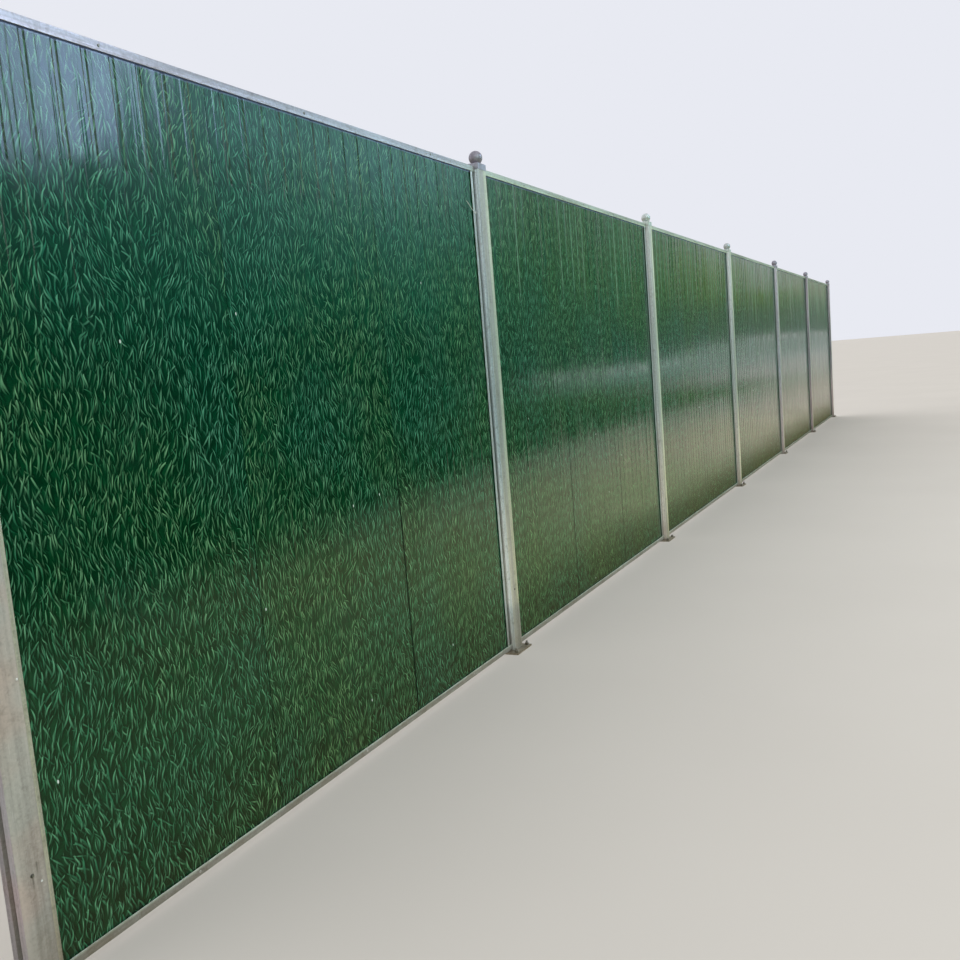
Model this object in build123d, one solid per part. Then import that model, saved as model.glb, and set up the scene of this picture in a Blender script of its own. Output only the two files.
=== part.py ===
# Steel street barricade: a run of site hoarding in whole bays, standing on a pavement.
# Roll-formed slotted posts on foot plates carry framed panels of ribbed sheet steel.
#
# Millimetres. X runs along the barricade, -Y faces the street and +Z is up.
# The origin is on the underside of the middle post's foot plate, at its centre.
import os

from build123d import *

# Run
BAY_COUNT = 6
POST_PITCH = 3000.0          # post centre to post centre
SHEETS_PER_BAY = 3

# Heights of a bay's frame above the paving
FRAME_GAP = 15.0             # paving to the underside of the bottom rail
FRAME_HEIGHT = 2515.0        # underside of the bottom rail to the top of the top rail

# Post: one cold-rolled section with a slot down each side for the frames
POST_WIDTH = 86.0            # along the run
POST_DEPTH = 60.0            # across the run
POST_WALL = 1.5
POST_BEND_RADIUS = 2.5       # outside radius of the four corners
SLOT_DEPTH = 20.0
SLOT_CLEARANCE = 0.5         # rail to each side of the slot
GROOVE_WIDTH = 8.0           # stiffening groove in each side face
GROOVE_DEPTH = 1.5

# Frame: U channels, rails over and under with hemmed edges, side trims nested between them
RAIL_WIDTH = 18.0            # outside, across the run, over the hems
RAIL_FLANGE = 28.0           # outside height
RAIL_HEM = 11.0              # height of the edge that is folded back on the outside
CHANNEL_WALL = 1.0
CHANNEL_BEND_RADIUS = 1.5    # outside
RAIL_INSERT = 14.0           # length of rail end held in a slot
TRIM_FLANGE = 22.0
TRIM_CLEARANCE = 0.2         # trim to the inside of a rail's flange
TRIM_STANDOFF = 14.0         # post's side face to the trim's web, with the panel in the middle of its rails
PANEL_SHIFT = -8.0           # trims and sheets stand this far off the middle of the bay

# Sheets
SHEET_THICKNESS = 0.6
RIB_PITCH = 100.0
RIB_COUNT = 9                # in each sheet
RIB_MOUTH = 22.0
RIB_FLOOR = 10.0
RIB_DEPTH = 2.0
SHEET_END_CLEARANCE = 0.5    # sheet edge to trim web
SHEET_TOP_CLEARANCE = 4.0    # sheet's upper edge to the top rail's web
LAP_WIDTH = 20.0             # lip that runs behind the next sheet
LAP_STEP = 3.0               # width of the joggle
LAP_GAP = 0.4                # between lapped sheets

# Foot plate
PLATE_MARGIN_X = 47.0        # post to the plate's end, along the run
PLATE_MARGIN_Y = 35.0        # post to the plate's edge, across the run
PLATE_THICKNESS = 8.0
PLATE_CORNER_RADIUS = 3.0
ANCHOR_INSET = 20.0          # hole centre to the plate's edges
ANCHOR_HOLE = 14.0           # diameter

# Post cap: a pressed sleeve with a sloped crown, a collar and a ball
CAP_WALL = 1.5
CAP_CLEARANCE = 0.5          # post to the inside of the sleeve
CAP_RISE = 12.0              # top of the rails to the top of the post
CAP_SKIRT = 28.0             # how far the sleeve comes down the post
CAP_NOTCH_CLEARANCE = 1.0    # rail to the sides and the top of the notch it enters by
CROWN_HEIGHT = 3.0
COLLAR_FOOT = 58.0           # diameters of the collar
COLLAR_TOP = 46.0
COLLAR_HEIGHT = 4.5
BALL_DIAMETER = 70.0

# Worked out from the sizes above
FRAME_TOP = FRAME_GAP + FRAME_HEIGHT
POST_TOP = FRAME_TOP + CAP_RISE
SLOT_WIDTH = RAIL_WIDTH + 2 * SLOT_CLEARANCE
PLATE_LENGTH = POST_WIDTH + 2 * PLATE_MARGIN_X
PLATE_DEPTH = POST_DEPTH + 2 * PLATE_MARGIN_Y
ANCHOR_SPACING_X = PLATE_LENGTH - 2 * ANCHOR_INSET
ANCHOR_SPACING_Y = PLATE_DEPTH - 2 * ANCHOR_INSET
RAIL_BODY = RAIL_WIDTH - 2 * CHANNEL_WALL
TRIM_WIDTH = RAIL_BODY - 2 * CHANNEL_WALL - 2 * TRIM_CLEARANCE
POST_FACE_GAP = POST_PITCH - POST_WIDTH
RAIL_LENGTH = POST_FACE_GAP + 2 * RAIL_INSERT
TRIM_SPAN = POST_FACE_GAP - 2 * TRIM_STANDOFF
SHEET_SPAN = TRIM_SPAN - 2 * CHANNEL_WALL - 2 * SHEET_END_CLEARANCE
SHEET_COVER = SHEET_SPAN / SHEETS_PER_BAY
SHEET_FACE_Y = -(RIB_DEPTH + SHEET_THICKNESS) / 2
POST_XS = [POST_PITCH * (i - BAY_COUNT / 2) for i in range(BAY_COUNT + 1)]
BAY_XS = [POST_PITCH * (i - (BAY_COUNT - 1) / 2) for i in range(BAY_COUNT)]


def slotted_outline(width, depth, slot, bend_radius):
    """Face inside the slotted post outline, with its two slots and four side grooves."""
    side, front, lip = width / 2, depth / 2, slot / 2
    groove_y = (lip + front) / 2
    quarter = [
        (side - SLOT_DEPTH, lip),
        (side, lip),
        (side, groove_y - GROOVE_WIDTH / 2),
        (side - GROOVE_DEPTH, groove_y - GROOVE_WIDTH / 4),
        (side - GROOVE_DEPTH, groove_y + GROOVE_WIDTH / 4),
        (side, groove_y + GROOVE_WIDTH / 2),
        (side, front),
    ]
    points = quarter + [(-x, y) for x, y in reversed(quarter)]
    points += [(-x, -y) for x, y in points]
    face = make_face(Polyline(*points, close=True))
    corners = [v for v in face.vertices() if abs(v.Y) > front - bend_radius / 2]
    return fillet(corners, bend_radius)


def post(x):
    """Hollow slotted post, standing on its foot plate."""
    outside = slotted_outline(POST_WIDTH, POST_DEPTH, SLOT_WIDTH, POST_BEND_RADIUS)
    inside = slotted_outline(
        POST_WIDTH - 2 * POST_WALL,
        POST_DEPTH - 2 * POST_WALL,
        SLOT_WIDTH + 2 * POST_WALL,
        POST_BEND_RADIUS - POST_WALL,
    )
    tube = extrude(outside - inside, amount=POST_TOP - PLATE_THICKNESS)
    return Pos(x, 0, PLATE_THICKNESS) * tube


def foot_plate(x):
    """Plate welded under a post, with four anchor holes."""
    outline = RectangleRounded(PLATE_LENGTH, PLATE_DEPTH, PLATE_CORNER_RADIUS)
    holes = GridLocations(ANCHOR_SPACING_X, ANCHOR_SPACING_Y, 2, 2) * Circle(ANCHOR_HOLE / 2)
    return Pos(x, 0, 0) * extrude(outline - holes, amount=PLATE_THICKNESS)


def post_cap(x):
    """Pressed cap: a sleeve notched for the rails, a sloped crown, a collar and a ball."""
    inner_length = POST_WIDTH + 2 * CAP_CLEARANCE
    inner_depth = POST_DEPTH + 2 * CAP_CLEARANCE
    length, depth = inner_length + 2 * CAP_WALL, inner_depth + 2 * CAP_WALL
    sleeve = extrude(Rectangle(length, depth) - Rectangle(inner_length, inner_depth), amount=-CAP_SKIRT)
    notch = Box(
        length * 2,
        RAIL_WIDTH + 2 * CAP_NOTCH_CLEARANCE,
        CAP_SKIRT - CAP_RISE + CAP_NOTCH_CLEARANCE,
        align=(Align.CENTER, Align.CENTER, Align.MIN),
    )
    sleeve -= Pos(0, 0, -CAP_SKIRT) * notch
    lid = extrude(Rectangle(length, depth), amount=CAP_WALL)
    crown = Pos(0, 0, CAP_WALL) * loft([
        Rectangle(length, depth).face(),
        Pos(0, 0, CROWN_HEIGHT) * Rectangle(length - depth + COLLAR_FOOT, COLLAR_FOOT).face(),
    ])
    collar_z = CAP_WALL + CROWN_HEIGHT
    collar = Cone(COLLAR_FOOT / 2, COLLAR_TOP / 2, COLLAR_HEIGHT, align=(Align.CENTER, Align.CENTER, Align.MIN))
    ball_radius = BALL_DIAMETER / 2
    ball_rise = (ball_radius**2 - (COLLAR_TOP / 2) ** 2) ** 0.5
    ball = Pos(0, 0, collar_z + COLLAR_HEIGHT + ball_rise) * Sphere(ball_radius)
    cap = sleeve + lid + crown + Pos(0, 0, collar_z) * collar + ball
    return Pos(x, 0, POST_TOP) * cap


def channel_section(width, flange):
    """U section with its web on the X axis and its flanges upwards."""
    half, inner = width / 2, width / 2 - CHANNEL_WALL
    face = make_face(Polyline(
        (-half, 0), (half, 0), (half, flange), (inner, flange),
        (inner, CHANNEL_WALL), (-inner, CHANNEL_WALL), (-inner, flange), (-half, flange),
        close=True,
    ))
    corners = [v for v in face.vertices() if v.Y < CHANNEL_WALL / 2]
    return fillet(corners, CHANNEL_BEND_RADIUS)


def rail_section():
    """Channel section whose free edges are folded back flat on the outside."""
    channel = channel_section(RAIL_BODY, RAIL_FLANGE)
    hem_height = RAIL_FLANGE - RAIL_HEM / 2
    for side in (-1, 1):
        channel += Pos(side * (RAIL_BODY + CHANNEL_WALL) / 2, hem_height) * Rectangle(CHANNEL_WALL, RAIL_HEM)
    folds = [v for v in channel.vertices() if v.Y > RAIL_FLANGE - CHANNEL_WALL / 2]
    folds = [v for v in folds if abs(v.X) > RAIL_WIDTH / 2 - CHANNEL_WALL / 2]
    return fillet(folds, CHANNEL_WALL)


def bottom_rail(x):
    """Hemmed channel between two posts, open upwards, its ends in the posts' slots."""
    plane = Plane.YZ.offset(x - RAIL_LENGTH / 2)
    rail = extrude(plane * rail_section(), amount=RAIL_LENGTH)
    return Pos(0, 0, FRAME_GAP) * rail


def top_rail(x):
    """The same channel, open downwards."""
    height = 2 * FRAME_GAP + FRAME_HEIGHT
    return Pos(0, 0, height) * mirror(bottom_rail(x), Plane.XY)


def side_trims(x):
    """The two upright channels of a frame, open towards the sheets, about the panel's middle."""
    foot = FRAME_GAP + CHANNEL_WALL
    section = channel_section(TRIM_WIDTH, TRIM_FLANGE)
    left = extrude(Rot(0, 0, -90) * section, amount=FRAME_HEIGHT - 2 * CHANNEL_WALL)
    left = Pos(-TRIM_SPAN / 2, 0, foot) * left
    return Pos(x, 0, 0) * Compound([left.solid(), mirror(left, Plane.YZ).solid()])


def sheet_section(left, lapped):
    """Ribbed sheet seen from above, from its left edge; a lapped one has a joggled lip."""
    first_rib = left + (SHEET_COVER - (RIB_COUNT - 1) * RIB_PITCH) / 2
    front = [(left, 0)]
    for i in range(RIB_COUNT):
        rib = first_rib + i * RIB_PITCH
        front += [
            (rib - RIB_MOUTH / 2, 0),
            (rib - RIB_FLOOR / 2, RIB_DEPTH),
            (rib + RIB_FLOOR / 2, RIB_DEPTH),
            (rib + RIB_MOUTH / 2, 0),
        ]
    right = left + SHEET_COVER
    if lapped:
        lip = SHEET_THICKNESS + LAP_GAP
        front += [(right - LAP_STEP, 0), (right - LAP_STEP / 2, lip), (right + LAP_WIDTH, lip)]
    else:
        front += [(right, 0)]
    back = [(px, py + SHEET_THICKNESS) for px, py in reversed(front)]
    return Pos(0, SHEET_FACE_Y) * make_face(Polyline(*front, *back, close=True))


def sheets(x):
    """One bay's ribbed sheets about x, lapped left over right and standing in the bottom rail."""
    foot = FRAME_GAP + CHANNEL_WALL
    height = FRAME_HEIGHT - 2 * CHANNEL_WALL - SHEET_TOP_CLEARANCE
    solids = []
    for i in range(SHEETS_PER_BAY):
        left = x - SHEET_SPAN / 2 + i * SHEET_COVER
        section = sheet_section(left, lapped=i < SHEETS_PER_BAY - 1)
        solids.append((Pos(0, 0, foot) * extrude(section, amount=height)).solid())
    return Compound(solids)


def write(name, shape):
    export_step(shape, f"parts/{name}.step")


os.makedirs("parts", exist_ok=True)
for number, post_x in enumerate(POST_XS, start=1):
    write(f"foot_plate_{number}", foot_plate(post_x))
    write(f"post_{number}", post(post_x))
    write(f"post_cap_{number}", post_cap(post_x))
for number, bay_x in enumerate(BAY_XS, start=1):
    write(f"bottom_rail_{number}", bottom_rail(bay_x))
    write(f"top_rail_{number}", top_rail(bay_x))
    write(f"side_trims_{number}", side_trims(bay_x + PANEL_SHIFT))
    write(f"sheets_{number}", sheets(bay_x + PANEL_SHIFT))
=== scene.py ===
# Looks of the steel street barricade: camera, light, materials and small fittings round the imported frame.
# Metres in the part's own frame: X along the run, -Y towards the street, +Z up.
import math
import random

import bmesh
import bpy
from mathutils import Matrix, Vector


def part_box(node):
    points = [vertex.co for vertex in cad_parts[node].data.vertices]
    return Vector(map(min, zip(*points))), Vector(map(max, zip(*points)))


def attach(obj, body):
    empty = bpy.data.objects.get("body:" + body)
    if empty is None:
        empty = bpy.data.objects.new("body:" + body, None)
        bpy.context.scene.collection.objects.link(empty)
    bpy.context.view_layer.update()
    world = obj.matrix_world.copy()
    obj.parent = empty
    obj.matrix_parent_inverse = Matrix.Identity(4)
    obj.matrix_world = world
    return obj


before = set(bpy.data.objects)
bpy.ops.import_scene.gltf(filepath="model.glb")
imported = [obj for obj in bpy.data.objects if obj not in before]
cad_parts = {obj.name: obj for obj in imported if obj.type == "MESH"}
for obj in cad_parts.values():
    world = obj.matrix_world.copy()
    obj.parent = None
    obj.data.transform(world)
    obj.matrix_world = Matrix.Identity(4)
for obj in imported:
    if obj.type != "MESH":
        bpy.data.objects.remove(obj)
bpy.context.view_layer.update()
BODY = "root"

# Sizes that follow the part
POST_PITCH = 3.0
POST_COUNT = 7
FIRST_POST = -POST_PITCH * (POST_COUNT - 1) / 2
POST_XS = [FIRST_POST + POST_PITCH * i for i in range(POST_COUNT)]
SHEETS_PER_BAY = 3
RIB_PITCH = 0.1
POST_LOW, POST_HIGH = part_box("post_1")
PLATE_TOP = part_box("foot_plate_1")[1].z
RAIL_LOW, RAIL_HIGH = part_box("top_rail_1")
LOW_RAIL_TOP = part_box("bottom_rail_1")[1].z
SHEET_LOW, SHEET_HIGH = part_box("sheets_1")
POST_WIDTH = POST_HIGH.x - POST_LOW.x
POST_FACE_Y = POST_LOW.y
SHEET_START = SHEET_LOW.x - POST_XS[0]
SHEET_COVER = (SHEET_HIGH.x - SHEET_LOW.x) / SHEETS_PER_BAY


# Node building

class Value:
    """Output of a node. Each step of a formula with it makes a Math node."""

    def __init__(self, socket):
        self.socket = socket

    def other(self, name):
        """Another output of the same node."""
        return Value(self.socket.node.outputs[name])

    def all(self):
        """All the outputs of the same node."""
        return [Value(socket) for socket in self.socket.node.outputs]

    def __add__(self, number):
        return calc("ADD", self, number)

    def __sub__(self, number):
        return calc("SUBTRACT", self, number)

    def __rsub__(self, number):
        return calc("SUBTRACT", number, self)

    def __mul__(self, number):
        return calc("MULTIPLY", self, number)

    def __truediv__(self, number):
        return calc("DIVIDE", self, number)

    def __gt__(self, number):
        return calc("GREATER_THAN", self, number)

    def __lt__(self, number):
        return calc("LESS_THAN", self, number)

    def __abs__(self):
        return calc("ABSOLUTE", self)


def tree_of(*values):
    """Node tree of the first node output among the values."""
    return next(value.socket.id_data for value in values if isinstance(value, Value))


def give(entry, value):
    """Links a node output to an input, or sets a plain number, vector or colour on it."""
    if isinstance(value, Value):
        entry.id_data.links.new(value.socket, entry)
    elif entry.type == "RGBA":
        entry.default_value = (*value, 1.0)
    else:
        entry.default_value = value


def put(tree, kind, values=None, out=0, **settings):
    """Adds a node, fills its inputs and returns one of its outputs."""
    made = tree.nodes.new(kind)
    for key, value in settings.items():
        setattr(made, key, value)
    for key, value in (values or {}).items():
        give(made.inputs[key], value)
    return Value(made.outputs[out])


def calc(operation, *values):
    """A Math node."""
    return put(tree_of(*values), "ShaderNodeMath", dict(enumerate(values)), operation=operation)


def vector_calc(operation, first, second):
    """A Vector Math node."""
    return put(tree_of(first), "ShaderNodeVectorMath", {0: first, 1: second}, operation=operation)


def stretch(vector, x, y, z):
    """Vector with each part multiplied."""
    return vector_calc("MULTIPLY", vector, (x, y, z))


def parts(vector):
    """X, Y and Z of a vector."""
    return put(tree_of(vector), "ShaderNodeSeparateXYZ", {0: vector}).all()


def channels(colour):
    """Red, green and blue of a colour."""
    return put(tree_of(colour), "ShaderNodeSeparateColor", {0: colour}).all()


def to_vector(x=0.0, y=0.0, z=0.0):
    """Vector of three numbers."""
    return put(tree_of(x, y, z), "ShaderNodeCombineXYZ", {0: x, 1: y, 2: z})


def ease(value, low, high, to_low=0.0, to_high=1.0, shape="SMOOTHSTEP"):
    """Step from to_low to to_high as value goes from low to high."""
    values = {0: value, 1: low, 2: high, 3: to_low, 4: to_high}
    return put(tree_of(value), "ShaderNodeMapRange", values, interpolation_type=shape)


def between(factor, first, second):
    """Number mix."""
    return put(tree_of(factor, first, second), "ShaderNodeMix", {0: factor, 2: first, 3: second})


def blend(factor, first, second, how="MIX"):
    """Colour mix."""
    values = {0: factor, 6: first, 7: second}
    return put(tree_of(*values.values()), "ShaderNodeMix", values, out=2, data_type="RGBA", blend_type=how)


def tinted(colour, tint, where=1.0):
    """Colour multiplied by a tint."""
    return blend(where, colour, tint, "MULTIPLY")


def steps(value, colour, *changes):
    """Colour that turns into the next one over each (low, high, colour)."""
    for low, high, after in changes:
        colour = blend(ease(value, low, high), colour, after)
    return colour


def bands(value, *stops):
    """Colour that changes from stop to stop of (value, linear colour)."""
    changes = [(low, high, after) for (low, _), (high, after) in zip(stops, stops[1:])]
    return steps(value, stops[0][1], *changes)


def rgb(r, g, b):
    """Linear colour of an 8-bit screen colour."""
    part = [c / 255 for c in (r, g, b)]
    return tuple(c / 12.92 if c <= 0.04045 else ((c + 0.055) / 1.055) ** 2.4 for c in part)


def noise(vector, scale, detail=2.0, rough=0.5, out=0, dimensions="3D"):
    """Fractal noise about 0.5."""
    values = {"Vector": vector, "Scale": scale, "Detail": detail, "Roughness": rough}
    return put(tree_of(vector), "ShaderNodeTexNoise", values, out=out, noise_dimensions=dimensions)


def cells(vector, scale, out, dimensions="2D"):
    """Scattered cells: the position of the nearest, its distance, or a random colour for each."""
    values = {"Vector": vector, "Scale": scale}
    return put(tree_of(vector), "ShaderNodeTexVoronoi", values, out=out, voronoi_dimensions=dimensions)


def material(name):
    """New material, with its shader node and the object's coordinates."""
    made = bpy.data.materials.new(name)
    made.use_nodes = True
    place = put(made.node_tree, "ShaderNodeTexCoord", out="Object")
    return made, made.node_tree.nodes["Principled BSDF"], place


def connect(shader, **values):
    """Fills inputs of a shader node; _ stands for a space in their names."""
    for name, value in values.items():
        give(shader.inputs[name.replace("_", " ")], value)


def add_bump(shader, height, distance, **more):
    """Roughens a shader node's normal by a height."""
    values = {"Distance": distance, "Height": height, **more}
    connect(shader, Normal=put(tree_of(height), "ShaderNodeBump", values))


# Grass print. The blades' sizes are in millimetres.

BLADE_CELL = (28.0, 70.0)                # between blades of one layer, across and up
BLADE_HALF_LENGTH = 18.0                 # of the shortest; the longest is twice as long
BLADE_HALF_WIDTH, WIDTH_RANGE = 1.5, 1.1
BOW_RANGE, TWIST_RANGE = 14.0, 11.0      # how far the ends bend the same way and opposite ways
SHADOW_OFFSET, SHADOW_SPREAD = 4.1, 1.5  # a blade's shadow: to its side, and wider than it
BLADE_LAYERS = 7
LAYER_START, LAYER_STEP = (17.0, 5.0), (131.7, 211.3)    # where the first layer lies, and each one after it
WILD_LAYERS = (1, 4)
STEEP_SPREAD, WILD_SPREAD = 0.85, 1.9    # how far the blades of a layer turn, in radians in all

# Sheets, in metres
SHEET_SHIFT = (7.37, 3.19)               # how far the print moves from each sheet to the next
FIRST_LAP_PAST = (-7.6, -7.3)
RIBS_FADE = (2.12, 2.28)                 # heights between which the ribs' shading appears
RIBS_HANG, HANG_FROM = 0.4, -6.3         # how much lower it may reach at some ribs, right of this place
PAINTED_STREAK_FADE = (2.08, 2.36)                 # heights between which the painted highlight streaks appear
PAINTED_STREAK_MIDDLE, PAINTED_STREAK_REACH = 0.25, (0.34, 0.26)    # place across a sheet, and to each side of it
PAINTED_STREAK_FROM = (-6.1, -5.95)


def blade_layer_group():
    """One layer of blades: each cell holds one curved blade. Its place is in millimetres."""
    tree = bpy.data.node_groups.new("blade_layer", "ShaderNodeTree")
    for name, kind in (("Place", "Vector"), ("Spread", "Float"), ("Lean", "Float")):
        tree.interface.new_socket(name, in_out="INPUT", socket_type=f"NodeSocket{kind}")
    for name in ("Blade", "Shadow", "Tone", "Along"):
        tree.interface.new_socket(name, in_out="OUTPUT", socket_type="NodeSocketFloat")
    enter = tree.nodes.new("NodeGroupInput")
    leave = tree.nodes.new("NodeGroupOutput")
    place, spread, lean = (Value(enter.outputs[name]) for name in ("Place", "Spread", "Lean"))
    grid = stretch(place, 1 / BLADE_CELL[0], 1 / BLADE_CELL[1], 0)
    centre = cells(grid, 1.0, "Position")
    turn, size, bend = channels(centre.other("Color"))
    across, up, _ = parts(stretch(vector_calc("SUBTRACT", grid, centre), *BLADE_CELL, 0))
    angle = (turn - 0.5) * spread + lean
    sine, cosine = calc("SINE", angle), calc("COSINE", angle)
    along = (up * cosine + across * sine) / (size * BLADE_HALF_LENGTH + BLADE_HALF_LENGTH)    # -1 foot, 1 tip
    squared = along * along
    shine = calc("FRACT", (turn + size) * 7.3)
    bow = (bend - 0.5) * BOW_RANGE
    twist = (shine - 0.5) * TWIST_RANGE * along
    side = across * cosine - up * sine - (bow + twist) * squared
    width = (1.0 - squared) * (along * -0.35 + 1.0) * (size * WIDTH_RANGE + BLADE_HALF_WIDTH)
    inside = width - abs(side)
    beside = width * SHADOW_SPREAD - abs(side - SHADOW_OFFSET)
    results = {
        "Blade": ease(inside, -0.9, 1.2),
        "Shadow": ease(beside, -3.0, 1.5),
        "Tone": shine,
        "Along": ease(along, -1.15, 0.75),
    }
    for name, value in results.items():
        give(leave.inputs[name], value)
    return tree


def printed_grass(plane):
    """Layers of blades over a dark ground, then broad changes of tone. plane is in metres."""
    lean = (noise(plane, 5.5, 1.0, dimensions="2D") - 0.5) * 1.5
    sway = vector_calc("SUBTRACT", noise(plane, 2.2, out=1, dimensions="2D"), (0.5, 0.5, 0.0))
    swayed = stretch(vector_calc("ADD", plane, stretch(sway, 0.10, 0.04, 0.0)), 1000, 1000, 0)
    ground = noise(plane, 16.0, 3.0, 0.6, dimensions="2D")
    colour = blend(ease(ground, 0.3, 0.7), rgb(0, 34, 18), rgb(2, 55, 32))
    shade, deep, pale, tip = rgb(0, 31, 16), rgb(0, 59, 39), rgb(48, 123, 92), rgb(117, 185, 148)
    group = blade_layer_group()
    for i in range(BLADE_LAYERS):
        shift = [start + step * i for start, step in zip(LAYER_START, LAYER_STEP)]
        moved = vector_calc("ADD", swayed, (*shift, 0))
        spread = WILD_SPREAD if i in WILD_LAYERS else STEEP_SPREAD
        entries = {"Place": moved, "Spread": spread, "Lean": lean}
        blade, shadow, tone, along = put(tree_of(plane), "ShaderNodeGroup", entries, node_tree=group).all()
        lit = blend(along, deep, blend(tone, pale, tip))
        opacity = 0.25 + 0.60 * i / (BLADE_LAYERS - 1)
        lit = blend(opacity, colour, lit)
        colour = blend(blade, blend(shadow * 0.65, colour, shade), lit)
    wide = ease(noise(plane, 1.3, dimensions="2D"), 0.3, 0.7)
    return tinted(colour, blend(wide, (0.84, 1.0, 1.05), (1.28, 1.03, 0.84)))


def lap_joint(x, z, in_bay):
    """Dark line at each lap of the sheets, dirt in the joint and a painted shadow of the lap's step, strongest
    low down; the first one is narrower and fainter.
    """
    laps = in_bay / SHEET_COVER
    away = abs((laps - calc("ROUND", laps)) * SHEET_COVER)
    half_width = ease(x, *FIRST_LAP_PAST, 0.004, 0.008)
    strength = ease(z, 1.25, 0.95, 0.15, 0.9) * ease(x, *FIRST_LAP_PAST, 0.55, 1.0)
    return ease(away, half_width, half_width * 0.4) * strength


def chips(plane):
    """Rare small spots where the print is gone."""
    spot = cells(stretch(plane, 5.2, 2.4, 0), 1.0, "Distance")
    chance = channels(spot.other("Color"))[0]
    return ease(spot, 0.016, 0.010) * (chance > 0.9)


def grass_sheet_material():
    """Printed sheet: grass on the street side under a gloss coat, plain grey back coat behind."""
    made, shader, place = material("printed_sheet")
    x, _, z = parts(place)
    from_first = x - FIRST_POST
    bay = calc("FLOOR", from_first / POST_PITCH)
    in_bay = from_first - bay * POST_PITCH - SHEET_START
    sheet = calc("FLOOR", in_bay / SHEET_COVER)
    number = bay * SHEETS_PER_BAY + sheet
    plane = to_vector(number * SHEET_SHIFT[0] + x, number * SHEET_SHIFT[1] + z)

    # Warmer towards the bottom: a painted reflection of the paving.
    colour = tinted(printed_grass(plane), (1.12, 1.06, 0.88), ease(z, 1.3, 0.5))
    mist = noise(plane, 2.7, 3.0, 0.6, dimensions="2D")
    colour = blend(ease(mist, 0.5, 0.8, 0.0, 0.12), colour, rgb(42, 84, 68))
    dust = ease(z, 0.45, 0.03) * noise(stretch(place, 1, 1, 0.5), 6.0, 4.0, 0.6)
    colour = blend(dust * 0.11, colour, rgb(112, 108, 84))
    # Lap lines: dirt in the joint and a painted shadow of the lap's step.
    lap_dirt_and_shadow = lap_joint(x, z, in_bay)
    colour = blend(lap_dirt_and_shadow, colour, rgb(6, 22, 16))
    # Painted reflection: a bluish strip on the sheet just under the top rail, in place of the sky mirrored
    # there.
    painted_reflection_under_rail = ease(z, RAIL_LOW.z - 0.010, RAIL_LOW.z - 0.002)
    colour = blend(painted_reflection_under_rail, colour, rgb(92, 110, 140))
    colour = blend(chips(plane), colour, rgb(206, 222, 214))

    # The ribs' shading fades out downwards, lower at some; their left slopes carry a painted highlight at the
    # top, pale streaks in place of the sky's reflection
    normal = place.other("Normal")
    slope, facing, _ = parts(normal)
    rib = calc("ROUND", x / RIB_PITCH)
    hang = put(made.node_tree, "ShaderNodeTexWhiteNoise", {"W": rib}, noise_dimensions="1D")
    above = z + hang * RIBS_HANG * (x > HANG_FROM)
    crisp = ease(above, *RIBS_FADE)
    across = in_bay - sheet * SHEET_COVER
    # Painted highlight: pale streaks near the top of the ribs' left slopes, standing in for reflected sky.
    painted_sky_streak = ease(abs(across - PAINTED_STREAK_MIDDLE), *PAINTED_STREAK_REACH) * ease(above, *PAINTED_STREAK_FADE)
    painted_sky_streak = painted_sky_streak * (slope < -0.1) * ease(x, *PAINTED_STREAK_FROM) * (hang * 0.38 + 0.13)
    colour = blend(painted_sky_streak, colour, rgb(142, 186, 158))
    flat = to_vector(y=calc("SIGN", facing))
    soften = (1.0 - crisp) * (abs(facing) > 0.8)
    values = {0: soften, 4: normal, 5: flat}
    softened = put(made.node_tree, "ShaderNodeMix", values, out=1, data_type="VECTOR")

    behind = facing > 0.0
    grime = noise(stretch(place, 5, 5, 0.6), 2.0, 5.0, 0.6)
    back = blend(ease(grime, 0.35, 0.75), rgb(186, 188, 182), rgb(150, 150, 142))
    haze = noise(stretch(place, 3, 3, 1), 1.7, 4.0, 0.6)
    connect(
        shader,
        Base_Color=blend(behind, colour, back),
        Roughness=between(behind, ease(haze, 0.3, 0.75, 0.08, 0.17), 0.45),
        Specular_IOR_Level=lap_dirt_and_shadow * -0.42 + 0.5,
        IOR=1.45,
    )
    waves = noise(stretch(plane, 7.0, 0.5, 1), 1.0, dimensions="2D")
    ripples = noise(stretch(plane, 46.0, 0.7, 1), 1.0, 1.0, dimensions="2D")
    ripples = ease(ripples, 0.55, 0.8) * 0.25 + ripples * 0.15
    add_bump(shader, ripples + waves, 0.0016, Normal=softened)
    return made


# Galvanised steel

SCREW_HEIGHT = 0.335                             # of the screw in the middle of each post's face
DRIPS = (                                        # off the post's middle, top and length
    (0.001, SCREW_HEIGHT, 0.05),
    (0.017, SCREW_HEIGHT + 0.03, 0.045),
)
FOLD_DEPTH = 0.017                               # from the top rail's top to the edge of its fold
SECOND_ON, THIRD_ON = (-8.0, -7.0), (-4.5, -3.5)    # where the posts' tints change, along the run
FIFTH_ON, SIXTH_ON = (2.0, 3.0), (4.0, 5.0)


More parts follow.
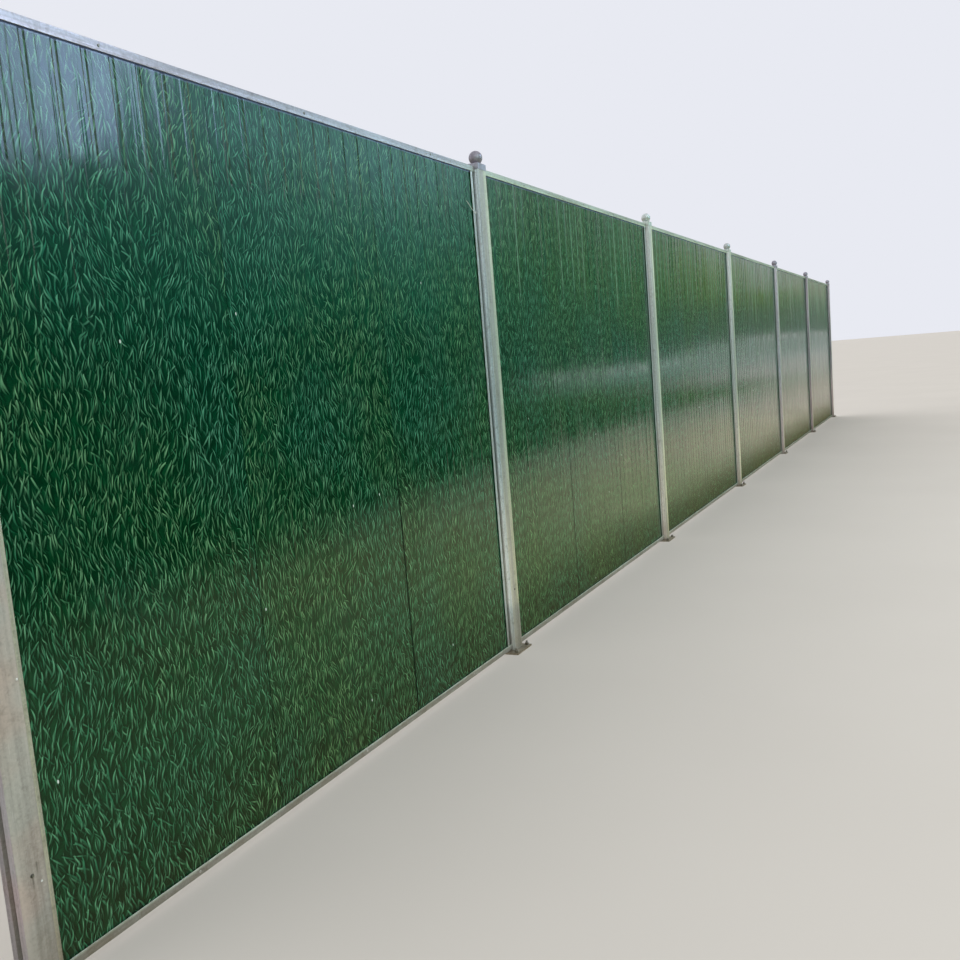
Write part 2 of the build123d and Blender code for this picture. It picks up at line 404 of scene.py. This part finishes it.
def galvanised_material(
    name, dark, light, along_x=False, rough=(0.4, 0.62), metallic=0.55, tint=None, marks=False,
):
    """Weathered zinc: streaks along the section, faint spangle, dust towards the ground and small stains.

    tint(x, z) gives a colour that the zinc is multiplied by; marks adds what only the posts have.
    """
    made, shader, place = material(name)
    x, _, z = parts(place)

    def grain(fine, slow):
        """Coordinates that run fast across the section and slowly along it."""
        return stretch(place, slow, fine, fine) if along_x else stretch(place, fine, fine, slow)

    streak = noise(grain(70, 2.5), 1.0, 4.0, 0.6)
    band = noise(grain(14, 0.9), 1.0, 3.0)
    spangle = channels(cells(place, 160.0, "Color", "3D"))[0]
    value = spangle * 0.10 + (streak * 0.55 + band * 0.75)
    colour = blend(ease(value, 0.42, 0.95), rgb(*dark), rgb(*light))
    blotch = noise(place, 23.0, 5.0, 0.65)
    colour = blend(ease(blotch, 0.52, 0.74, 0.0, 0.45), colour, rgb(112, 106, 94))
    if tint:
        colour = tinted(colour, tint(x, z))
    if along_x:
        # Painted light: rail faces turned inward are made pale, as if lit inside the rail.
        painted_light_inside = parts(place.other("Normal"))[1] > 0.7
        colour = blend(painted_light_inside, colour, rgb(216, 220, 232))
    dust = ease(z, 0.30, 0.0) * noise(place, 11.0, 4.0, 0.6)
    colour = blend(dust * 0.9, colour, rgb(133, 120, 99))
    scratch = noise(stretch(place, 210, 210, 9), 1.0)
    colour = blend(ease(scratch, 0.69, 0.75, 0.0, 0.5), colour, rgb(206, 208, 204))
    if marks:
        colour = post_marks(colour, place)
    roughness = ease(value, 0.4, 0.95, rough[1], rough[0])
    connect(shader, Base_Color=colour, Roughness=roughness, Metallic=metallic)
    add_bump(shader, blotch * 0.6 + streak, 0.0004)
    return made


def post_marks(colour, place):
    """Sides in another tone than the face, much lighter from the second post on as painted light, pinkish
    patches on the first post, drips and gouges.
    """
    x, _, z = parts(place)
    # Painted light on the posts' sides: much lighter from the second post on.
    side = steps(
        x, (0.94, 0.92, 1.06),
        (*SECOND_ON, (1.72, 1.84, 2.05)), (*THIRD_ON, (1.55, 1.50, 1.62)), (*SIXTH_ON, (1.1, 0.98, 1.08)),
    )
    colour = tinted(colour, side, abs(parts(place.other("Normal"))[0]) > 0.7)
    pinkish = ease(noise(place, 3.7), 0.45, 0.65) * ease(x, *SECOND_ON[::-1])
    colour = tinted(colour, (1.10, 0.95, 0.92), pinkish)
    colour = blend(drips(x, z), colour, rgb(92, 84, 74))
    gouge = noise(stretch(place, 130, 130, 16), 1.0, 3.0, 0.6)
    return blend(ease(gouge, 0.70, 0.76, 0.0, 0.55), colour, rgb(104, 98, 92))


def off_post(x):
    """Distance along the run from the nearest post's centre."""
    return calc("MODULO", x - (FIRST_POST - POST_PITCH / 2), POST_PITCH) - POST_PITCH / 2


def drips(x, z):
    """Two thin runs of dirt under the screw of each post."""
    from_post = off_post(x)
    runs = []
    for offset, top, length in DRIPS:
        away = abs(from_post - offset)
        runs.append(ease(away, 0.0032, 0.0008) * ease(z, top - length, top - 0.01) * (z < top))
    return calc("MAXIMUM", *runs) * 0.55


def post_tone_and_painted_light(x, z):
    """The first post is warm and dull; the rest are paler with painted light, cooler higher up, and brighter
    on the right with a painted highlight.
    """
    tone = steps(x, (1.10, 1.14, 1.08), (*THIRD_ON, (0.98, 1.01, 0.96)))
    tone = steps(z, tone, (0.5, 1.2, (0.66, 0.82, 0.85)), (1.6, 2.2, (0.90, 1.04, 1.10)))
    # Painted light: the posts from the third on are brighter, as if lit.
    tone = tinted(tone, (1.17, 1.19, 1.16), ease(x, *THIRD_ON))
    # Painted shade on the posts from the fifth on.
    tone = tinted(tone, (0.86, 0.80, 0.88), ease(x, *FIFTH_ON))
    # Painted highlight on the right part of each post's face.
    tone = tinted(tone, (1.26, 1.30, 1.12), ease(off_post(x), 0.004, 0.016))
    grey_foot = ease(z, 0.28, 0.22) * (x < THIRD_ON[0])
    tone = blend(grey_foot, tone, (0.78, 0.86, 0.84))
    return blend(ease(x, *SECOND_ON), (0.91, 0.95, 0.98), tone)


def rail_tone_and_painted_highlight(x, z):
    """The first bay's top rail is pale with a painted highlight that darkens along it; the others are
    greenish.

    Above the folded edge they are duller. The low rails have a painted highlight along the upper edge only.
    """
    # Painted highlight: the first bay's top rail is pale at its start and darkens along it.
    colour = steps(x, (1.10, 0.98, 1.12), (-8.6, -7.0, (0.86, 0.86, 0.96)), (-6.4, -5.8, (0.92, 1.02, 0.80)))
    fold = RAIL_HIGH.z - FOLD_DEPTH
    above_fold = ease(z, fold - 0.0008, fold + 0.0008)
    colour = blend(above_fold * 0.4, colour, (0.66, 0.64, 0.70))
    # Painted highlight along the low rails' upper edge.
    painted_highlight_low_edge = ease(z, LOW_RAIL_TOP - 0.009, LOW_RAIL_TOP - 0.003)
    return blend(z < 1.0, colour, blend(painted_highlight_low_edge, (0.92, 0.92, 0.88), (1.50, 1.64, 1.50)))


def trim_tint(x, z):
    """The trim by the first post is as warm as the post."""
    return steps(x, (1.12, 0.98, 0.84), (-8.6, -7.6, (1.0, 1.0, 1.0)))


def cap_tone_and_painted_light(x, z):
    """The third and fourth caps are pale with painted light, the third the most, and the rest dark; the
    sleeves are paler.
    """
    # Painted light: the third and fourth caps and their sleeves are made pale, as if lit.
    pale = ease(x, -5.0, -4.0) * ease(x, 2.0, 1.0)
    ball = blend(pale, (1.05, 1.03, 1.15), steps(x, (1.9, 2.15, 2.0), (-2.0, -1.0, (1.4, 1.58, 1.48))))
    sleeve = blend(pale, (1.25, 1.30, 1.46), (1.9, 2.2, 2.0))
    return blend(ease(z, POST_HIGH.z + 0.006, POST_HIGH.z), ball, sleeve)


GALVANISED = {    # dark and light colour, and what else differs
    "galvanised_post": ((150, 145, 136), (198, 193, 184), {"tint": post_tone_and_painted_light, "marks": True, "metallic": 0.3}),
    "galvanised_trim": ((154, 162, 160), (210, 218, 216), {"tint": trim_tint}),
    "galvanised_rail": ((160, 162, 160), (214, 218, 218), {"along_x": True, "tint": rail_tone_and_painted_highlight}),
    "galvanised_cap": ((122, 120, 122), (168, 166, 168), {"tint": cap_tone_and_painted_light}),
    "galvanised_plate": ((134, 126, 108), (190, 182, 164), {}),
    "bright_fastener": ((206, 210, 206), (240, 244, 240), {"metallic": 0.2}),
    "fastener": ((90, 84, 76), (168, 166, 160), {"rough": (0.3, 0.5), "metallic": 0.8}),
}
MATERIALS = {"printed_sheet": grass_sheet_material()}
for name, (dark, light, more) in GALVANISED.items():
    MATERIALS[name] = galvanised_material(name, dark, light, **more)

NODE_MATERIALS = {
    "sheets": "printed_sheet",
    "post": "galvanised_post",
    "side_trims": "galvanised_trim",
    "bottom_rail": "galvanised_rail",
    "top_rail": "galvanised_rail",
    "post_cap": "galvanised_cap",
    "foot_plate": "galvanised_plate",
}
for node_name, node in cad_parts.items():
    node.data.materials.clear()
    node.data.materials.append(MATERIALS[NODE_MATERIALS[node_name.rsplit("_", 1)[0]]])


# Small fittings. Profiles are (radius, height) pairs from the seat up.

WASHER = ((0.0066, 0.0), (0.0120, 0.0), (0.0122, 0.0004), (0.0120, 0.0024), (0.0066, 0.0024), (0.0066, 0.0))
WASHER_HEIGHT = 0.0024
NUT = ((0.0068, 0.0), (0.0100, 0.0), (0.0109, 0.0008), (0.0109, 0.0095), (0.0100, 0.0104), (0.0062, 0.0104))
NUT_TOP = 0.0128                                # on its washer
THREAD_PITCH, THREAD_START = 0.00175, -0.004
THREAD_ROOT, THREAD_CREST = 0.0053, 0.0060      # radii
RIVET_HEAD = (
    (0.0, -0.0004), (0.0048, -0.0004), (0.0049, 0.0003), (0.0040, 0.0011),
    (0.0022, 0.0015), (0.0014, 0.0014), (0.0011, 0.0008), (0.0, 0.0008),
)
SCREW_FLANGE = ((0.0, -0.0004), (0.0054, -0.0004), (0.0056, 0.0003), (0.0050, 0.0009), (0.0, 0.0009))
SCREW_HEAD = ((0.0034, 0.0007), (0.0040, 0.0012), (0.0040, 0.0040), (0.0034, 0.0046), (0.0, 0.0042))
ANCHOR_X, ANCHOR_Y = 0.070, 0.045               # from the post's centre
WELD_RADIUS, WELD_OFFSET = 0.0032, 0.0008       # of the bead, and its middle off the post's faces
WELD_STEP, WELD_RIPPLE = 0.0009, 0.0027         # between rings, and between ripples
WELD_CORNER, SLOT_HALF = 0.002, 0.0105          # cut off at a corner, and left unwelded at a slot
RIVET_OFFSET, RIVET_DEPTH = 0.052, 0.014        # right of a sheet's middle, and below the rail's top
RIVET_ROWS = (
    ("rail_rivets", RAIL_HIGH.z - RIVET_DEPTH, "fastener"),
    ("low_rail_rivets", LOW_RAIL_TOP - RIVET_DEPTH, "bright_fastener"),
)
BRIGHT_RIVET_SCALE = 0.65
BRIGHT_RIVETS = {                               # by post: off its centre, and height
    1: ((0.036, 0.843), (0.025, 0.308)),
    5: ((-0.034, 1.57),),
}
TUBE_SIDES = 8                                  # of a weld bead and of the tie wire
TIE_RADIUS = 0.0014
TIE_PATH = (                                    # from the second post's centre
    (-0.052, 0.003, 2.299), (-0.052, -0.007, 2.301), (-0.056, -0.0115, 2.301), (-0.064, -0.012, 2.298),
    (-0.073, -0.011, 2.293), (-0.079, -0.0125, 2.292), (-0.079, -0.015, 2.297), (-0.073, -0.0145, 2.302),
    (-0.070, -0.011, 2.299), (-0.078, -0.010, 2.296), (-0.094, -0.012, 2.301), (-0.112, -0.015, 2.306),
    (-0.135, -0.018, 2.315), (-0.162, -0.021, 2.328), (-0.189, -0.022, 2.342),
)


def new_object(name, data):
    """Object in the scene."""
    made = bpy.data.objects.new(name, data)
    bpy.context.scene.collection.objects.link(made)
    return made


def new_piece(name, bm, finish, smooth_angle=40):
    """Smooth-shaded piece made from bm, set on the body with its slot and material."""
    mesh = bpy.data.meshes.new(name)
    bm.to_mesh(mesh)
    bm.free()
    for face in mesh.polygons:
        face.use_smooth = True
    mesh.set_sharp_from_angle(angle=math.radians(smooth_angle))
    mesh.materials.append(MATERIALS[finish])
    piece = new_object(name, mesh)
    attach(piece, BODY)


def circle(segments):
    """Cosine and sine of each point round a ring."""
    angles = [2 * math.pi * i / segments for i in range(segments)]
    return [(math.cos(a), math.sin(a)) for a in angles]


def join_rings(bm, rings):
    """Faces from each ring of points to the next; a ring of one point is a tip."""
    for low, high in zip(rings, rings[1:]):
        count = max(len(low), len(high))
        for i in range(count):
            j = (i + 1) % count
            corners = [low[i % len(low)], low[j % len(low)], high[j % len(high)], high[i % len(high)]]
            unique = list(dict.fromkeys(corners))
            if len(unique) > 2:
                bm.faces.new(unique)


def turned(bm, profile, place, segments):
    """Solid of revolution, placed by a matrix."""
    rings = []
    for radius, height in profile:
        around = circle(segments) if radius else [(0.0, 0.0)]
        rings.append([bm.verts.new(place @ Vector((radius * c, radius * s, height))) for c, s in around])
    join_rings(bm, rings)


def anchor_bolt(bm, x, y, rng):
    """M12 anchor: washer, chamfered hexagon nut and a threaded end with a rounded tip."""
    place = Matrix.Translation((x, y, PLATE_TOP)) @ Matrix.Rotation(rng.uniform(0, math.pi), 4, "Z")
    turned(bm, WASHER, place, 24)
    turned(bm, NUT, place @ Matrix.Translation((0, 0, WASHER_HEIGHT)), 6)
    reach = NUT_TOP + rng.uniform(0.004, 0.011)
    thread = [(0.0, THREAD_START)]
    for i in range(int((reach - THREAD_START) / THREAD_PITCH)):
        z = THREAD_START + i * THREAD_PITCH
        thread += [(THREAD_ROOT, z), (THREAD_CREST, z + 0.0007), (THREAD_CREST, z + 0.0010)]
    thread += [(0.0052, reach), (0.0042, reach + 0.0010), (0.0, reach + 0.0012)]
    turned(bm, thread, place, 14)


def weld_path(post_x, side):
    """Round the foot of the post on one side, from slot to slot, with the corners cut."""
    half_x = POST_WIDTH / 2 + WELD_OFFSET
    half_y = WELD_OFFSET - POST_FACE_Y
    right = [(half_x, SLOT_HALF), (half_x, half_y - WELD_CORNER), (half_x - WELD_CORNER, half_y)]
    left = [(-x, y) for x, y in right]
    return [Vector((post_x + x, side * y, PLATE_TOP)) for x, y in left + right[::-1]]


def weld_run(bm, corners, rng):
    """Weld bead: overlapping ripples along a path."""
    rings = []
    for start, end in zip(corners, corners[1:]):
        run = end - start
        count = max(2, int(run.length / WELD_STEP))
        sideways = run.normalized().cross(Vector((0, 0, 1)))
        for i in range(count):
            phase = (i * WELD_STEP / WELD_RIPPLE) % 1.0
            swell = WELD_RADIUS * (0.86 + 0.26 * math.sin(math.pi * phase) + rng.uniform(-0.03, 0.03))
            centre = start + run * (i / count)
            around = [sideways * swell * c + Vector((0, 0, 0.8 * swell * s)) for c, s in circle(TUBE_SIDES)]
            rings.append([bm.verts.new(centre + spoke) for spoke in around])
    join_rings(bm, rings)


def on_street_side(x, y, z):
    """Place of a fitting that stands towards the street."""
    return Matrix.Translation((x, y, z)) @ Matrix.Rotation(math.radians(90), 4, "X")


for number, post_x in enumerate(POST_XS, start=1):
    rng = random.Random(700 + number)
    bolts = bmesh.new()
    for x_side in (-1, 1):
        for y_side in (-1, 1):
            anchor_bolt(bolts, post_x + x_side * ANCHOR_X, y_side * ANCHOR_Y, rng)
    new_piece(f"anchor_bolts_{number}", bolts, "fastener")

    welds = bmesh.new()
    for side in (-1, 1):
        weld_run(welds, weld_path(post_x, side), rng)
    new_piece(f"foot_welds_{number}", welds, "fastener", smooth_angle=60)

    screw = bmesh.new()
    place = on_street_side(post_x, POST_FACE_Y, SCREW_HEIGHT)
    turned(screw, SCREW_FLANGE, place, 20)
    turned(screw, SCREW_HEAD, place, 6)
    new_piece(f"post_screw_{number}", screw, "fastener")

for bay, post_x in enumerate(POST_XS[:-1], start=1):
    for name, height, finish in RIVET_ROWS:
        rivets = bmesh.new()
        for i in range(SHEETS_PER_BAY):
            x = post_x + SHEET_START + (i + 0.5) * SHEET_COVER + RIVET_OFFSET
            turned(rivets, RIVET_HEAD, on_street_side(x, RAIL_LOW.y, height), 20)
        new_piece(f"{name}_{bay}", rivets, finish)

for number, spots in BRIGHT_RIVETS.items():
    rivets = bmesh.new()
    for offset, height in spots:
        place = on_street_side(POST_XS[number - 1] + offset, POST_FACE_Y, height)
        turned(rivets, RIVET_HEAD, place @ Matrix.Scale(BRIGHT_RIVET_SCALE, 4), 20)
    new_piece(f"post_rivets_{number}", rivets, "bright_fastener")


def tie_wire():
    """Stiff wire hooked round the trim, with a loop and one end that sticks out."""
    bm = bmesh.new()
    path = [Vector(point) for point in TIE_PATH]
    side = Vector((0, 0, 1))
    rings = []
    for i, centre in enumerate(path):
        along = (path[min(i + 1, len(path) - 1)] - path[max(i - 1, 0)]).normalized()
        side = (side - along * side.dot(along)).normalized()
        across = along.cross(side)
        around = [(side * c + across * s) * TIE_RADIUS for c, s in circle(TUBE_SIDES)]
        rings.append([bm.verts.new(centre + spoke + Vector((POST_XS[1], 0, 0))) for spoke in around])
    bm.faces.new(rings[0])
    join_rings(bm, rings)
    bm.faces.new(rings[-1][::-1])
    return bm


new_piece("tie_wire", tie_wire(), "bright_fastener", smooth_angle=60)


# Camera, solved from the photograph

CAMERA_PLACE = (-10.49617, -2.16070, 1.53140)
YAW, PITCH, ROLL = (math.radians(a) for a in (-63.06558, -6.83610, 4.67091))
FOCAL_PIXELS, FRAME_PIXELS = 950.0, 960.0
SENSOR_WIDTH = 36.0          # mm
VIEW_REACH = 2000.0


def solved_axes():
    """Camera's right, up and forward in the part's frame; the solving frame has Y up and Z away."""
    cp, sp, cy, sy, cr, sr = (f(a) for a in (PITCH, YAW, ROLL) for f in (math.cos, math.sin))
    about_x = Matrix(((1, 0, 0), (0, cp, -sp), (0, sp, cp)))
    about_y = Matrix(((cy, 0, sy), (0, 1, 0), (-sy, 0, cy)))
    about_z = Matrix(((cr, -sr, 0), (sr, cr, 0), (0, 0, 1)))
    rows = about_z @ about_x @ about_y
    return [Vector((r[0], r[2], r[1])) for r in rows]


right, up, forward = solved_axes()
camera = new_object("camera", bpy.data.cameras.new("camera"))
camera.data.sensor_width = SENSOR_WIDTH
camera.data.lens = SENSOR_WIDTH * FOCAL_PIXELS / FRAME_PIXELS
camera.data.clip_end = VIEW_REACH
camera.matrix_world = Matrix((
    (right.x, up.x, -forward.x, CAMERA_PLACE[0]),
    (right.y, up.y, -forward.y, CAMERA_PLACE[1]),
    (right.z, up.z, -forward.z, CAMERA_PLACE[2]),
    (0, 0, 0, 1),
))
bpy.context.scene.camera = camera


# Floor, and what the glossy sheets reflect

FLOOR_REACH = 400.0
KERB_Y = -3.9
STREET_EDGE = (-3.7, -5.0)
STREET_SIDE_Y = -10.0
SKYLINE = (    # x and height of the trees opposite
    (-26.0, 7.5), (-13.0, 7.5), (-10.0, 2.4), (-2.2, 2.4), (-1.2, 5.0), (0.9, 5.3), (1.6, 5.9), (2.6, 7.4),
    (8.0, 8.0), (22.0, 7.6), (34.0, 7.4), (48.0, 6.7), (54.0, 6.6), (58.0, 5.3), (66.0, 5.2), (72.0, 8.5),
    (260.0, 9.5),
)
SKY_TOP = 12.0
SKY_GAP = (*SKYLINE[1:8], (3.2, SKY_TOP), (-13.0, SKY_TOP))


def stage_plane(name, corners, finish):
    """Flat stage piece with these corners."""
    mesh = bpy.data.meshes.new(name)
    mesh.from_pydata(corners, [], [tuple(range(len(corners)))])
    mesh.materials.append(finish)
    plane = new_object(name, mesh)
    return plane


def reflected(name, outline, finish):
    """Upright stage plane at the far side of the street, which only glossy rays see."""
    plane = stage_plane(name, [(x, STREET_SIDE_Y, z) for x, z in outline], finish)
    plane.visible_camera = False
    plane.visible_diffuse = False
    plane.visible_shadow = False


def plain_glow(made, colour, power=1.0):
    """Light of this colour for a material, which lights nothing by itself."""
    made.cycles.emission_sampling = "NONE"
    return put(made.node_tree, "ShaderNodeEmission", {"Color": colour, "Strength": power})


def end_in(tree, result, kind="Material"):
    """Links a shader to the surface of a material or world."""
    give(tree.nodes[f"{kind} Output"].inputs["Surface"], result)


def floor_material():
    """Pale studio floor; in the sheets' gloss it is paving by the run and a darker street beyond."""
    made, shader, place = material("floor")
    tone = blend(noise(place, 0.6, 3.0), rgb(206, 201, 194), rgb(214, 209, 202))
    connect(shader, Base_Color=tone, Roughness=0.9, Specular_IOR_Level=0.1)
    x, y, _ = parts(place)
    paving = bands(
        x, (-7.0, (0.36, 0.47, 0.25)), (-4.0, (0.61, 0.68, 0.36)), (-1.0, (0.82, 0.85, 0.53)),
        (5.0, (1.00, 0.90, 0.68)), (16.0, (0.98, 0.86, 0.76)),
    )
    paving = tinted(paving, (0.70, 0.83, 0.84), ease(y, -2.0, -3.5))
    patches = noise(stretch(place, 0.25, 1.6, 0), 2.0, 3.0, 0.6)
    paving = blend(ease(patches, 0.35, 0.7, 0.0, 0.25), paving, (0.2, 0.22, 0.15))
    # Darker close to the run: debris there and a painted shadow of the run.
    paving = blend(ease(y, -0.95, -0.05), paving, (0.20, 0.17, 0.09))
    kerb = ease(abs(y - KERB_Y), 0.22, 0.08, 0.0, 0.45)
    paving = blend(kerb, paving, (1.3, 1.35, 1.1))
    street = bands(
        x, (3.0, (0.015, 0.11, 0.03)), (14.0, (0.09, 0.17, 0.07)), (21.0, (0.13, 0.24, 0.09)),
        (27.0, (0.38, 0.43, 0.34)), (38.0, (0.80, 0.77, 0.74)),
    )
    nearer = ease(x, -6.0, 6.0, 1.0, 0.15, "LINEAR")    # the street's edge slants
    glow = plain_glow(made, blend(ease(y - nearer, *STREET_EDGE), paving, street))
    mirror = put(made.node_tree, "ShaderNodeLightPath", out="Is Glossy Ray")
    both = {0: mirror, 1: Value(shader.outputs[0]), 2: glow}
    end_in(made.node_tree, put(made.node_tree, "ShaderNodeMixShader", both))
    return made


def street_side_material():
    """Trees that lighten upwards, with a pale street at eye level, near, midway and far along the street."""
    made, _, place = material("street_side")
    x, _, z = parts(place)
    near = bands(
        z, (1.0, (0.015, 0.15, 0.06)), (2.2, (0.015, 0.15, 0.09)), (3.2, (0.07, 0.43, 0.29)),
        (4.3, (0.18, 0.64, 0.53)), (5.4, (0.42, 1.0, 0.95)), (6.6, (0.85, 1.75, 1.9)),
    )
    middle = bands(
        z, (0.3, (0.13, 0.27, 0.11)), (1.5, (0.08, 0.19, 0.12)), (3.2, (0.12, 0.27, 0.14)),
        (4.6, (0.14, 0.32, 0.15)), (6.2, (0.22, 0.42, 0.23)),
    )
    far = bands(
        z, (0.4, (0.55, 0.58, 0.56)), (2.1, (0.20, 0.27, 0.21)), (3.4, (0.18, 0.25, 0.16)),
        (4.8, (0.25, 0.37, 0.10)), (6.2, (0.44, 0.56, 0.22)),
    )
    beyond = bands(
        z, (1.3, (0.80, 0.78, 0.80)), (2.2, (0.22, 0.29, 0.24)), (5.0, (0.22, 0.31, 0.23)),
        (6.2, (0.52, 0.56, 0.42)),
    )
    colour = steps(x, near, (9.0, 19.0, middle), (27.0, 45.0, far), (64.0, 76.0, beyond))
    smear = noise(to_vector(x), 0.95, 2.0, 0.6)
    pale_top = smear * 0.35 + ease(x, 33.0, 59.0, 0.82, 1.90, "LINEAR")
    over = z - pale_top
    bright = blend(ease(smear, 0.35, 0.62), (0.48, 0.66, 0.60), (1.35, 1.55, 1.48))
    bright = blend(ease(x, 50.0, 64.0, 0.0, 0.8), bright, (1.05, 0.98, 1.02))
    dull = steps(x, (0.38, 0.58, 0.48), (30.0, 45.0, (0.48, 0.56, 0.52)))
    shown = ease(over, 0.12, -0.05) * ease(z, 0.2, 0.4) * ease(x, 16.5, 21.0) * ease(x, 125.0, 95.0)
    colour = blend(shown, colour, blend(ease(over, -0.35, -0.12), dull, bright))
    leaves = noise(stretch(place, 0.5, 0.5, 1.0), 0.9, 4.0, 0.65)
    colour = tinted(colour, blend(leaves, (0.72, 0.74, 0.72), (1.3, 1.28, 1.3)))
    end_in(made.node_tree, plain_glow(made, colour))
    return made


def sky_gap_material():
    """Bright sky in the gap between the trees, fading and broken towards the left and the ground."""
    made, _, place = material("sky_gap")
    x, _, z = parts(place)
    main = ease(x, -2.0, -0.9)
    broken = ease(z, 2.4, 3.6) * ease(noise(place, 1.1, 2.0, 0.7), 0.42, 0.62) * 3.5
    power = between(main, broken, noise(place, 0.7, 3.0, 0.6) * 2.4 + 5.6)
    patches = ease(noise(place, 1.3, 3.0, 0.65), 0.4, 0.6)
    colour = blend(main, (0.78, 1.0, 0.92), blend(patches, (0.56, 0.88, 1.02), (0.62, 0.80, 1.36)))
    end_in(made.node_tree, plain_glow(made, colour, power))
    return made


floor_corners = [(x * FLOOR_REACH, y * FLOOR_REACH, 0) for x, y in ((-1, -1), (1, -1), (1, 1), (-1, 1))]
stage_plane("floor", floor_corners, floor_material())
reflected("street_side", (*SKYLINE, (SKYLINE[-1][0], 0.0), (SKYLINE[0][0], 0.0)), street_side_material())
reflected("sky_gap", SKY_GAP, sky_gap_material())


# Light, plain backdrop and colours

world = bpy.data.worlds.new("studio")
bpy.context.scene.world = world
world.use_nodes = True
tree = world.node_tree
in_view = put(tree, "ShaderNodeLightPath", out="Is Camera Ray")
seen = calc("MAXIMUM", in_view, in_view.other("Is Glossy Ray"))
lighting = put(tree, "ShaderNodeBackground", {"Color": (1.0, 1.0, 1.0), "Strength": 1.05})
backdrop = put(tree, "ShaderNodeBackground", {"Color": rgb(232, 234, 242), "Strength": 1.0})
end_in(tree, put(tree, "ShaderNodeMixShader", {0: seen, 1: lighting, 2: backdrop}), "World")

KEY_PLACE, KEY_TARGET = Vector((-2.75, -8.4, 6.6)), Vector((-8.6, 0.0, 2.35))
light = bpy.data.lights.new("key", "AREA")
light.shape = "RECTANGLE"
light.size, light.size_y = 3.2, 2.6
light.energy = 210
light.color = (0.84, 0.93, 1.0)
key = new_object("key", light)
key.location = KEY_PLACE
key.rotation_mode = "QUATERNION"
key.rotation_quaternion = (KEY_TARGET - KEY_PLACE).to_track_quat("-Z", "Y")
key.visible_glossy = False

bpy.context.scene.view_settings.view_transform = "Standard"
